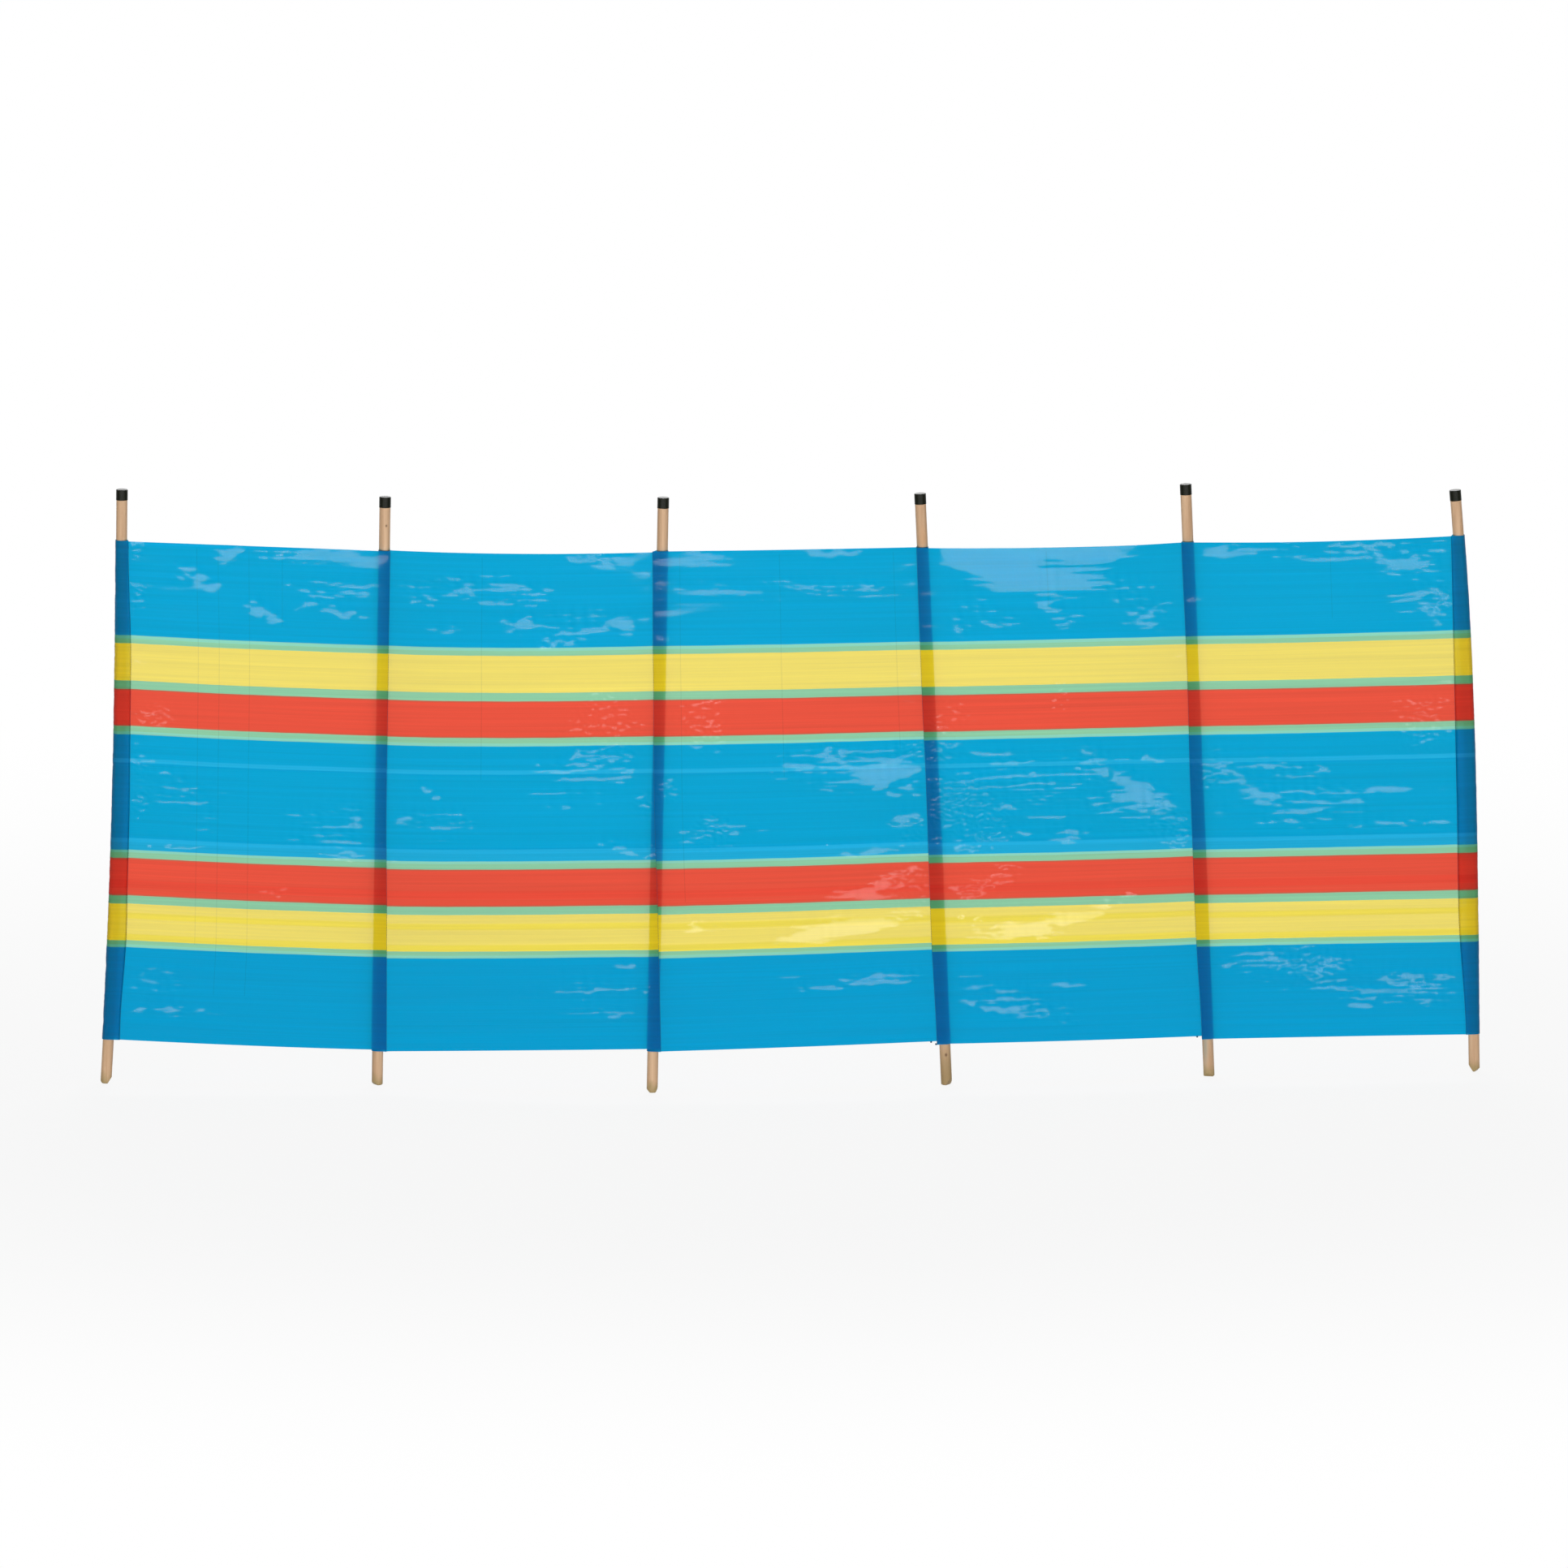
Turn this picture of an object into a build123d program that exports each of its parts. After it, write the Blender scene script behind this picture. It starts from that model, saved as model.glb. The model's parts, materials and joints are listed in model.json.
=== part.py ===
"""Beach windbreak: a striped plastic film held up by six wooden poles.

Six round wooden poles stand in a shallow arc. One long sheet of thin film runs past
the front of them all and is tucked and sewn into a pocket behind itself at each pole,
so that it makes five bays. Each pole leans a little in its pocket, which is wider than
the pole. A black push-on cap closes the top of each pole, and each foot is hewn to a
blunt point for driving into sand.

Units are millimetres. The origin is on the flat tip of the left end pole's foot.
+X runs along the row of poles, +Y points to the back and +Z points up.
"""

from build123d import *

import os
from math import acos, atan2, ceil, cos, degrees, radians, sin, tan

# ---- poles -------------------------------------------------------------------------
pole_count = 6
pole_length = 1200.0
pole_radius = 11.0
foot_trim = (0.0, 12.0, 0.0, 3.0, 0.0, 22.0)  # what the pointing took off each pole
top_edge_break = 0.8

# ---- how the row was set up --------------------------------------------------------
bay_pitch = 550.0  # between the feet of neighbouring poles, if set evenly
pitch_slip = (-8.0, 5.0, 43.0, -17.0, -16.0)  # how far each bay's feet missed it
bay_heading = (-2.0, -8.5, 8.0, 10.0, 6.0)  # degrees from +X towards the back
pole_lean = (1.75, 0.90, 1.10, -2.62, -2.40, -2.10)  # degrees, top towards +X
# A warped pole is two straight runs with one long bend: how far off the straight line
# they would meet, towards +X, and at which share of the length.
pole_warp = {0: (14.0, 0.42), 5: (16.0, 0.68)}
warp_reach = 0.85  # share of the shorter run that the bend takes up

# ---- blunt point of each foot ------------------------------------------------------
foot_round = 2.5  # broken edge all round the end
foot_spare = 0.6  # sawn off level with the ground
bevel_rise = 13.0  # how far up the side a bevel reaches
bevel_tip = 3.5  # from the pole's axis to a bevel's lower edge
bevel_gap = 155.0  # degrees from the first bevel to the second
second_bevel_share = 0.55  # rise of the second bevel over that of the first
foot_clock = (0.0, 60.0, 20.0, -40.0, 90.0, 180.0)  # where the first bevel faces

# ---- cap ---------------------------------------------------------------------------
cap_depth = 20.0  # how far down the pole it reaches
cap_wall = 0.6
cap_roof = 1.2
cap_clearance = 0.05
cap_bevel = 0.9  # round the crown

# ---- film --------------------------------------------------------------------------
film = 1.2  # thicker than the real film, so that it stays a sound solid
film_height = 1008.0
film_lift = (91.0, 73.0, 86.0, 87.0, 80.0, 77.0)  # lower edge above each pole's foot
pocket_slack = 0.8  # between a pole and the film round it
pocket_flats = 12  # narrow flats that make up the bend round a pole
seat_gap = 0.3  # between a pocket and the sheet that passes in front of it
# Each seam's distance from its pole's axis along the row, at the lower and upper edge.
seam_low = (33.0, 23.0, 17.0, -23.5, -18.0, -22.5)
seam_high = (16.5, 14.0, -18.5, -14.0, -15.0, -14.5)
pocket_swing = 16.0  # most a seam turns round its pole in one step, in degrees
warp_steps = 5  # fewest steps that follow a warped pole
bay_strips = 10  # narrow flat strips that make up a bay's curve
# How far each bay bellies out to the front at its middle.
belly_low = (10.0, 26.0, 22.0, 15.0, 10.0)
belly_high = (24.0, 45.0, 26.0, 42.0, 20.0)

pocket_outer = pole_radius + pocket_slack + film
pocket_inner = pole_radius + pocket_slack
sheet_offset = pocket_outer + seat_gap + film / 2  # sheet's middle, ahead of the axis


def foot_positions():
    """Plan position of each foot, walking along the row from the origin."""
    spots = [Vector(0, 0, 0)]
    for heading, slip in zip(bay_heading, pitch_slip):
        step = Vector(1, 0, 0).rotate(Axis.Z, heading) * (bay_pitch + slip)
        spots.append(spots[-1] + step)
    return spots


def pole_headings():
    """Heading of the row at each pole: the mean of the bays on either side."""
    before = (bay_heading[0],) + bay_heading
    after = bay_heading + (bay_heading[-1],)
    return [(left + right) / 2 for left, right in zip(before, after)]


def pole_plane(index):
    """Frame at a pole's foot: z towards its top, x along the row and y to the back."""
    along = Vector(1, 0, 0).rotate(Axis.Z, pole_headings()[index])
    lean = radians(pole_lean[index])
    upward = along * sin(lean) + Vector(0, 0, cos(lean))
    return Plane(
        origin=foot_positions()[index],
        x_dir=along * cos(lean) - Vector(0, 0, sin(lean)),
        z_dir=upward,
    )


def cut_length(index):
    """Length of a pole once its foot is pointed."""
    return pole_length - foot_trim[index]


def pole_axis(index):
    """A pole's own axis, straight or warped, from just under its foot to its top."""
    low, high = Vector(0, 0, -foot_spare), Vector(0, 0, cut_length(index))
    corners = [low, high]
    if index in pole_warp:
        offset, share = pole_warp[index]
        corners.insert(1, Vector(offset, 0, cut_length(index) * share))
    corners = [poles[index].from_local_coords(corner) for corner in corners]
    with BuildLine() as axis:
        if index in pole_warp:
            lower, upper = corners[1] - corners[0], corners[2] - corners[1]
            reach = warp_reach * min(lower.length, upper.length)
            bend = reach / tan(radians(lower.get_angle(upper) / 2))
            FilletPolyline(*corners, radius=bend)
        else:
            Line(*corners)
    return axis.wire()


def frame_on_pole(index, level):
    """Frame on a pole's own axis, at a distance up it from the foot."""
    share = (level + foot_spare) / (cut_length(index) + foot_spare)
    upward = axes[index].tangent_at(share)
    return Plane(
        origin=axes[index].position_at(share),
        x_dir=poles[index].y_dir.cross(upward),
        z_dir=upward,
    )


poles = [pole_plane(index) for index in range(pole_count)]
axes = [pole_axis(index) for index in range(pole_count)]


# ---- poles and caps ----------------------------------------------------------------
def make_pole(index):
    """A round pole with a broken top edge and a foot hewn by two bevels."""
    plane = frame_on_pole(index, 0)
    with BuildPart() as pole:
        with BuildSketch(frame_on_pole(index, -foot_spare)):
            Circle(pole_radius)
        sweep(path=axes[index])
        ends = pole.faces().filter_by(GeomType.PLANE).sort_by(Axis.Z)
        chamfer(ends[-1].edges(), length=top_edge_break)
        chamfer(ends[0].edges(), length=foot_round)
        for turn, share in ((0.0, 1.0), (bevel_gap, second_bevel_share)):
            clock = foot_clock[index] + turn
            rise = bevel_rise * share
            reach = pole_radius - bevel_tip
            outward = Vector(cos(radians(clock)), sin(radians(clock)), 0)
            slope = Vector(outward.X * rise, outward.Y * rise, -reach)
            hewn = Plane(
                origin=plane.from_local_coords(outward * bevel_tip),
                z_dir=plane.from_local_coords(slope) - plane.origin,
            )
            split(bisect_by=hewn, keep=Keep.BOTTOM)
        split(bisect_by=Plane.XY)
    pole.part.label = f"pole_{index + 1}"
    return pole.part


def make_cap(index):
    """A thin push-on cap, open below, with a bevelled crown."""
    plane = frame_on_pole(index, cut_length(index))
    bore = pole_radius + cap_clearance
    with BuildPart() as cap:
        with BuildSketch(plane.offset(-cap_depth)):
            Circle(bore + cap_wall)
        extrude(amount=cap_depth + cap_roof)
        chamfer(cap.edges().sort_by(Axis.Z)[-1], length=cap_bevel)
        with BuildSketch(plane.offset(-cap_depth)):
            Circle(bore)
        extrude(amount=cap_depth, mode=Mode.SUBTRACT)
    cap.part.label = f"cap_{index + 1}"
    return cap.part


# ---- film --------------------------------------------------------------------------
def seam_offset(index, share):
    """Distance of a seam from the straight line up its pole, at a share of the film."""
    return seam_low[index] + (seam_high[index] - seam_low[index]) * share


def pocket_section(index, share):
    """Frame on the pole at a share of the film's height, and the seam's point in it."""
    level = film_lift[index] + film_height * share
    plane = frame_on_pole(index, level)
    warp = poles[index].to_local_coords(plane.origin).X
    return plane, Vector(seam_offset(index, share) - warp, -(pocket_outer + seat_gap))


def pocket_steps(index):
    """Steps that follow the swing of a seam round its pole and the pole's warp."""
    swings = [atan2(pocket_section(index, share)[1].X, pocket_outer) for share in (0, 1)]
    swing = degrees(abs(swings[1] - swings[0]))
    return max(ceil(swing / pocket_swing), warp_steps if index in pole_warp else 1)


def teardrop(plane, apex, radius):
    """Draws film bent round a pole in narrow flats and drawn together at the seam."""
    aim = degrees(atan2(apex.Y, apex.X))
    spread = degrees(acos(radius / apex.length))
    flat = 2 * (180 - spread) / pocket_flats
    corner = Vector(radius / cos(radians(flat / 2)), 0)
    turns = [spread + flat * (step + 0.5) for step in range(pocket_flats)]
    with BuildSketch(plane) as outline:
        with BuildLine():
            Polyline(apex, *(corner.rotate(Axis.Z, aim + turn) for turn in turns), close=True)
        make_face()
    return outline.sketch


def make_pocket(index):
    """The loop of film behind the sheet, from its lower to its upper edge."""
    steps = pocket_steps(index)
    sections = [pocket_section(index, step / steps) for step in range(steps + 1)]
    core = pocket_inner / pocket_outer
    outer = [teardrop(plane, apex, pocket_outer) for plane, apex in sections]
    inner = [teardrop(plane, apex * core, pocket_inner) for plane, apex in sections]
    with BuildPart() as pocket:
        loft(outer, ruled=True)
        loft(inner, ruled=True, mode=Mode.SUBTRACT)
    pocket.part.label = f"pocket_{index + 1}"
    return pocket.part


def seam_ends(index):
    """The sheet's middle at a seam, at its lower and upper edge."""
    plane = poles[index]
    low = Vector(seam_low[index], -sheet_offset, film_lift[index])
    high = Vector(seam_high[index], -sheet_offset, film_lift[index] + film_height)
    return plane.from_local_coords(low), plane.from_local_coords(high)


def sheet_strip(low, high, backward):
    """A thin upright section across the sheet, from its lower to its upper edge."""
    upward = (high - low).normalized()
    plane = Plane(origin=(low + high) / 2, x_dir=upward, z_dir=backward.cross(upward))
    with BuildSketch(plane) as strip:
        Rectangle((high - low).length, film)
    return strip.sketch


def make_bay(index):
    """One bay of the sheet, bellied to the front between two seams."""
    left_low, left_high = seam_ends(index)
    right_low, right_high = seam_ends(index + 1)
    forward = Vector(0, -1, 0).rotate(Axis.Z, bay_heading[index])
    strips = [sheet_strip(left_low, left_high, poles[index].y_dir)]
    for step in range(1, bay_strips):
        share = step / bay_strips
        belly = forward * 4 * share * (1 - share)
        low = left_low + (right_low - left_low) * share + belly * belly_low[index]
        high = left_high + (right_high - left_high) * share + belly * belly_high[index]
        strips.append(sheet_strip(low, high, -forward))
    strips.append(sheet_strip(right_low, right_high, poles[index + 1].y_dir))
    with BuildPart() as bay:
        loft(strips, ruled=True)
    bay.part.label = f"bay_{index + 1}"
    return bay.part


os.makedirs("parts", exist_ok=True)
pieces = []
for number in range(pole_count):
    pieces.append(make_pole(number))
    pieces.append(make_cap(number))
    pieces.append(make_pocket(number))
for number in range(pole_count - 1):
    pieces.append(make_bay(number))
for piece in pieces:
    export_step(piece, f"parts/{piece.label}.step")
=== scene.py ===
"""Looks of the beach windbreak: striped film, sewn pockets, poles, caps and studio.

Units are metres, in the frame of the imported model: +X runs along the row of poles,
+Y points to the back and +Z points up. The film is rebuilt here as thin rippled
sheets and sewn with thread; the poles and caps stay as packed and get their finishes.
"""

import json
from math import acos, cos, exp, hypot, pi, radians, sin, tan, tau

import bmesh
import bpy
from mathutils import Matrix, Vector, noise


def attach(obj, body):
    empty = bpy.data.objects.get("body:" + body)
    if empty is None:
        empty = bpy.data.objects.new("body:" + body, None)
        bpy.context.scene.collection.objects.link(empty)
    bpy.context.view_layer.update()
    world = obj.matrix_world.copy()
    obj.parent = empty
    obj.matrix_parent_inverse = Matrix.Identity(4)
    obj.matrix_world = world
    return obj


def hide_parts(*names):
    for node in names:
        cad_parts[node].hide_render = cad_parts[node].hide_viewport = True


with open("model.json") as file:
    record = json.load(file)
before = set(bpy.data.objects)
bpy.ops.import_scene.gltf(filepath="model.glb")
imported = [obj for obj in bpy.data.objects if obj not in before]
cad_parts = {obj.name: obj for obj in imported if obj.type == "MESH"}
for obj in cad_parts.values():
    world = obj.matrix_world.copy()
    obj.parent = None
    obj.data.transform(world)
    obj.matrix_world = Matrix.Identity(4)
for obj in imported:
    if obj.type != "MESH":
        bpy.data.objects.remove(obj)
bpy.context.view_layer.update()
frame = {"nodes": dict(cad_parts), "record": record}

# ---- sizes -------------------------------------------------------------------------
POLES = 6
POLE_NUMBERS = range(1, POLES + 1)
BAY_NUMBERS = range(1, POLES)
POLE_RADIUS = 0.011
FILM_HEIGHT = 1.008
# Flat width of a bay, and of the film round a pole, from the seam back to the seam.
BAY = 0.550
# The rings of a packed pole's mesh: the least gap between them, the least width of a
# whole one, and the height from which they count, well clear of the hewn foot.
RING_GAP = 0.004
RING_WIDTH = 1.8 * POLE_RADIUS
RING_START = 0.05
# Stripes from the lower edge up: ink and width.
STRIPES = (
    ("low blue", 0.1880),
    ("aqua", 0.0057),
    ("green", 0.0082),
    ("deep yellow", 0.0130),
    ("yellow", 0.0310),
    ("deep yellow", 0.0120),
    ("yellow", 0.0182),
    ("green", 0.0166),
    ("brown", 0.0028),
    ("red", 0.0127),
    ("deep red", 0.0160),
    ("red", 0.0415),
    ("brown", 0.0028),
    ("green", 0.0114),
    ("aqua", 0.0050),
    ("hazy blue", 0.0160),
    ("pale blue", 0.0080),
    ("dark blue", 0.0040),
    ("blue", 0.1451),
    ("dark blue", 0.0030),
    ("pale blue", 0.0085),
    ("blue", 0.0485),
    ("aqua", 0.0060),
    ("green", 0.0110),
    ("brown", 0.0025),
    ("red", 0.0696),
    ("brown", 0.0025),
    ("green", 0.0170),
    ("yellow", 0.0750),
    ("green", 0.0098),
    ("aqua", 0.0065),
    ("blue", 0.1901),
)

# ---- how the film hangs ------------------------------------------------------------
# Columns and rows of the grids that the bays and the pockets are bent from.
SHEET_COLUMNS, SHEET_ROWS = 160, 504
LOOP_COLUMNS, LOOP_ROWS = 60, 160
# How far each bay bellies to the front, at its lower and upper edge.
BELLY = ((0.010, 0.024), (0.026, 0.045), (0.022, 0.026), (0.015, 0.042), (0.010, 0.020))
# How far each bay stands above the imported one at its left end, middle and right end:
# towards its lower edge, towards its upper edge, and just at the upper edge.
RISE = (
    ((0.0003, 0.0002, 0.0005), (0.0013, 0.0031, 0.0010), (-0.0010, 0.0015, -0.0003)),
    ((-0.0027, 0.0049, 0.0044), (0.0014, 0.0026, -0.0006), (0.0017, 0.0006, -0.0007)),
    ((-0.0011, 0.0050, 0.0050), (0.0008, 0.0007, -0.0054), (-0.0003, 0.0019, 0.0030)),
    ((-0.0007, 0.0033, 0.0048), (-0.0052, 0.0029, -0.0030), (0.0015, -0.0046, 0.0010)),
    ((-0.0014, 0.0020, 0.0007), (-0.0021, 0.0024, 0.0043), (0.0009, -0.0025, -0.0003)),
)
# Height over which the rise at the upper edge fades.
EDGE_REACH = 0.05
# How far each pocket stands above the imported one, at its lower and upper edge.
POCKET_RISE = (
    (-0.0005, 0.0010),
    (-0.0035, 0.0010),
    (-0.0020, 0.0000),
    (-0.0025, -0.0040),
    (-0.0025, -0.0025),
    (0.0000, 0.0040),
)
# How far each seam wanders along the row, at five even heights from the lower edge.
SEAM_WANDER = (
    (-0.0070, 0.0050, 0.0078, 0.0075, 0.0000),
    (-0.0039, -0.0044, -0.0068, -0.0040, -0.0012),
    (-0.0010, -0.0025, -0.0057, -0.0035, -0.0010),
    (0.0057, 0.0019, 0.0024, 0.0003, 0.0000),
    (0.0050, 0.0000, 0.0000, 0.0020, 0.0000),
    (0.0070, -0.0020, 0.0000, 0.0010, 0.0016),
)
# The pocket: the slack of its film round the pole, how far it lies behind the sheet at
# the seam, and how close its two edges are when they are welded.
LOOP_EASE = 0.0008
LOOP_RADIUS = POLE_RADIUS + LOOP_EASE
LOOP_BEHIND = 0.0006
WELD = 0.00001
# Width beside a seam in which it holds the film flat.
SEAM_HOLD = 0.006

# ---- unevenness of the film --------------------------------------------------------
# A kind of unevenness is its waves a metre along the film and up it, and what is added
# to the bay's seed. In a table of several kinds each has its depth before it.
BAY_SEED = 7.3
RIPPLES = ((0.0022, (2.4, 3.1, 0)), (0.00040, (2.2, 26, 20)), (0.00014, (4.5, 75, 40)))
# Puckers where a seam gathers the film: their depth and how far they reach from it.
PUCKERS = (9, 48, 60)
PUCKER_DEPTH = 0.0007
PUCKER_REACH = 0.06
# Crinkled facets a metre along the film and up it, and how much neighbours differ.
FLAKES = (62, 150)
FLAKE_CONTRAST = 3.7
# Level streaks and fine grit, which break up the rims of dents.
STREAKS = (12, 140, 5)
GRIT = (75, 230, 45)
# The film round a pole: waves round it and up it, and what the pole's number is
# multiplied by to seed them. The ridges have a depth of their own at each pole.
LOOP_SLACK, LOOP_SLACK_DEPTH = (0.9, 5, 3.1), 0.0012
LOOP_FOLDS, LOOP_FOLD_DEPTH = (2.5, 22, 5.7), 0.0005
LOOP_RIDGES = (4, 42, 4.3)
LOOP_RIDGE_DEPTHS = (0.0011, 0.0002, 0.0002, 0.0003, 0.0002, 0.0005)

# Dents in each bay, where the film is tipped back: distance from its left seam, height
# above its lower edge, half length, half height and slant in degrees.
DENTS = (
    (
        (0.195, 0.992, 0.022, 0.013, 30),
        (0.135, 0.939, 0.037, 0.012, -25),
        (0.266, 0.876, 0.033, 0.012, -35),
        (0.351, 0.892, 0.022, 0.007, 15),
        (0.424, 0.882, 0.044, 0.009, -10),
        (0.441, 0.992, 0.059, 0.009, -3),
        (0.027, 0.591, 0.019, 0.005, 0),
        (0.080, 0.540, 0.021, 0.009, -15),
        (0.125, 0.503, 0.022, 0.007, -10),
        (0.068, 0.395, 0.066, 0.005, 0),
        (0.458, 0.394, 0.051, 0.005, 0),
        (0.062, 0.134, 0.029, 0.009, 10),
        (0.097, 0.064, 0.062, 0.005, 2),
    ),
    (
        (0.450, 0.997, 0.055, 0.008, -3),
        (0.058, 0.920, 0.035, 0.010, -8),
        (0.161, 0.931, 0.024, 0.016, 0),
        (0.118, 0.855, 0.028, 0.007, 0),
        (0.283, 0.870, 0.031, 0.015, 10),
        (0.482, 0.865, 0.024, 0.010, 0),
        (0.346, 0.827, 0.037, 0.009, 0),
        (0.416, 0.589, 0.037, 0.018, 15),
        (0.479, 0.602, 0.022, 0.007, 0),
        (0.094, 0.522, 0.026, 0.007, -38),
        (0.148, 0.466, 0.028, 0.008, -25),
        (0.047, 0.469, 0.022, 0.009, 0),
        (0.495, 0.402, 0.044, 0.010, -15),
        (0.318, 0.114, 0.062, 0.006, 5),
        (0.479, 0.169, 0.055, 0.005, 0),
        (0.480, 0.070, 0.059, 0.006, 4),
    ),
    (
        (0.095, 0.992, 0.028, 0.010, 0),
        (0.366, 0.998, 0.046, 0.008, 0),
        (0.364, 0.593, 0.035, 0.013, 0),
        (0.290, 0.570, 0.026, 0.007, 0),
        (0.470, 0.548, 0.055, 0.014, 8),
        (0.400, 0.560, 0.030, 0.010, -8),
        (0.462, 0.530, 0.036, 0.010, 10),
        (0.498, 0.572, 0.026, 0.014, 30),
        (0.506, 0.514, 0.033, 0.007, 8),
        (0.513, 0.452, 0.040, 0.010, 12),
        (0.086, 0.437, 0.012, 0.005, 0),
        (0.145, 0.441, 0.022, 0.005, 0),
        (0.448, 0.396, 0.081, 0.007, 6),
        (0.326, 0.238, 0.081, 0.015, 12),
        (0.054, 0.257, 0.066, 0.012, -8),
        (0.440, 0.132, 0.059, 0.010, 2),
        (0.319, 0.117, 0.037, 0.005, 0),
    ),
    (
        (0.072, 0.846, 0.026, 0.012, -40),
        (0.465, 0.845, 0.030, 0.010, -20),
        (0.037, 0.601, 0.024, 0.010, 20),
        (0.111, 0.591, 0.022, 0.006, 0),
        (0.338, 0.579, 0.024, 0.016, -50),
        (0.445, 0.498, 0.070, 0.013, -35),
        (0.452, 0.569, 0.026, 0.007, -15),
        (0.148, 0.423, 0.044, 0.009, 0),
        (0.280, 0.416, 0.033, 0.010, 0),
        (0.066, 0.396, 0.051, 0.007, 0),
        (0.508, 0.396, 0.037, 0.010, 0),
        (0.112, 0.238, 0.081, 0.012, -12),
        (0.304, 0.249, 0.096, 0.010, 25),
        (0.250, 0.115, 0.040, 0.005, 0),
        (0.046, 0.096, 0.037, 0.012, -30),
        (0.155, 0.063, 0.073, 0.010, -5),
    ),
    (
        (0.078, 0.992, 0.044, 0.009, 0),
        (0.357, 0.989, 0.051, 0.010, 0),
        (0.437, 0.954, 0.044, 0.019, 0),
        (0.499, 0.867, 0.028, 0.027, 60),
        (0.054, 0.559, 0.038, 0.006, -3),
        (0.097, 0.528, 0.029, 0.010, -35),
        (0.144, 0.494, 0.037, 0.021, -20),
        (0.206, 0.435, 0.018, 0.006, -20),
        (0.250, 0.542, 0.031, 0.009, 0),
        (0.323, 0.475, 0.019, 0.006, 0),
        (0.317, 0.500, 0.132, 0.005, 0),
        (0.049, 0.458, 0.018, 0.010, 0),
        (0.425, 0.431, 0.081, 0.005, 0),
        (0.049, 0.153, 0.025, 0.007, 0),
        (0.170, 0.152, 0.030, 0.011, -20),
        (0.225, 0.126, 0.028, 0.010, -25),
        (0.266, 0.156, 0.030, 0.008, 0),
        (0.426, 0.115, 0.096, 0.005, 0),
        (0.320, 0.062, 0.022, 0.005, 0),
        (0.471, 0.065, 0.037, 0.006, -3),
    ),
)

# How solid a dent is in each bay, how fast it fades outwards, and how much flakes,
# streaks and grit break it up.
DENT_FILL = (0.42, 0.42, 0.62, 0.62, 0.62)
DENT_FADE = 0.6
DENT_FLAKES, DENT_STREAKS, DENT_GRIT = 2.6, 0.8, 1.3
# How far outside its rim a dent or a streaked place ends altogether.
RIM_END = 2.6

# Panels of slack film that lean back: the bay, and the corners as distances from the
# left seam and heights, clockwise as seen from the front.
LEANING = (
    (4, (0.005, 1.012), (0.395, 1.012), (0.365, 0.915), (0.150, 0.915)),
    (4, (0.380, 1.012), (0.480, 1.012), (0.440, 0.985), (0.385, 0.975)),
    (4, (0.215, 0.915), (0.260, 0.912), (0.330, 0.832), (0.300, 0.832)),
    (4, (0.335, 0.578), (0.447, 0.505), (0.508, 0.452), (0.410, 0.462), (0.365, 0.515)),
    (4, (0.080, 0.222), (0.300, 0.262), (0.380, 0.262), (0.160, 0.205)),
    (4, (0.030, 0.300), (0.120, 0.362), (0.150, 0.340), (0.070, 0.285)),
    (3, (0.375, 0.578), (0.500, 0.584), (0.530, 0.560), (0.440, 0.527), (0.405, 0.535)),
    (3, (0.455, 0.450), (0.500, 0.470), (0.530, 0.470), (0.500, 0.443)),
    (3, (0.230, 0.222), (0.400, 0.262), (0.545, 0.275), (0.545, 0.252), (0.300, 0.205)),
    (3, (0.360, 0.300), (0.530, 0.375), (0.545, 0.345), (0.420, 0.290)),
    (1, (0.300, 1.012), (0.510, 1.012), (0.480, 0.985), (0.360, 0.990)),
)
# Dark creases across the panels, and how ragged the panels' rims are.
PANEL_CREASES, CREASE_LIMIT = (4, 170, 25), 0.42
PANEL_RIMS = ((0.025, (60, 150, 9)), (0.070, (5, 120, 15)))
# Places with fine level streaks: the bay, then as for the dents.
STREAKED = (
    (1, 0.350, 0.990, 0.090, 0.012, 0),
    (1, 0.200, 0.990, 0.030, 0.014, 20),
    (1, 0.430, 0.930, 0.080, 0.018, 0),
    (1, 0.110, 0.500, 0.080, 0.035, -25),
    (1, 0.430, 0.440, 0.090, 0.045, 0),
    (1, 0.075, 0.128, 0.060, 0.022, 8),
    (1, 0.110, 0.062, 0.080, 0.010, 3),
    (2, 0.190, 0.930, 0.120, 0.024, 0),
    (2, 0.450, 0.990, 0.090, 0.010, 0),
    (2, 0.430, 0.860, 0.100, 0.022, 0),
    (2, 0.100, 0.460, 0.070, 0.025, 0),
    (2, 0.430, 0.565, 0.110, 0.045, 20),
    (2, 0.430, 0.110, 0.090, 0.040, 0),
    (3, 0.080, 0.985, 0.070, 0.012, 0),
    (3, 0.300, 0.930, 0.200, 0.020, 0),
    (3, 0.120, 0.440, 0.090, 0.020, 0),
    (3, 0.420, 0.560, 0.140, 0.045, 0),
    (3, 0.440, 0.415, 0.120, 0.014, 0),
    (3, 0.420, 0.135, 0.120, 0.016, 0),
    (3, 0.330, 0.235, 0.170, 0.020, 12),
    (3, 0.450, 0.330, 0.090, 0.022, 22),
    (4, 0.440, 0.885, 0.060, 0.040, -30),
    (4, 0.140, 0.860, 0.060, 0.024, -25),
    (4, 0.200, 0.520, 0.200, 0.060, -8),
    (4, 0.400, 0.500, 0.140, 0.045, -30),
    (4, 0.160, 0.235, 0.170, 0.024, 12),
    (4, 0.110, 0.330, 0.080, 0.018, 22),
    (4, 0.130, 0.095, 0.110, 0.026, -18),
    (5, 0.250, 0.985, 0.240, 0.018, 0),
    (5, 0.480, 0.890, 0.050, 0.050, 0),
    (5, 0.180, 0.500, 0.150, 0.050, -20),
    (5, 0.230, 0.140, 0.130, 0.036, -10),
    (5, 0.420, 0.100, 0.120, 0.026, 0),
)
# What breaks the streaks up, how much of it makes one, and how fast they fade outwards.
STREAK_BREAKS = ((2.4, (10, 180, 35)), (1.6, GRIT))
STREAK_LIMIT = 0.22
STREAK_FADE = 0.5
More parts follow.
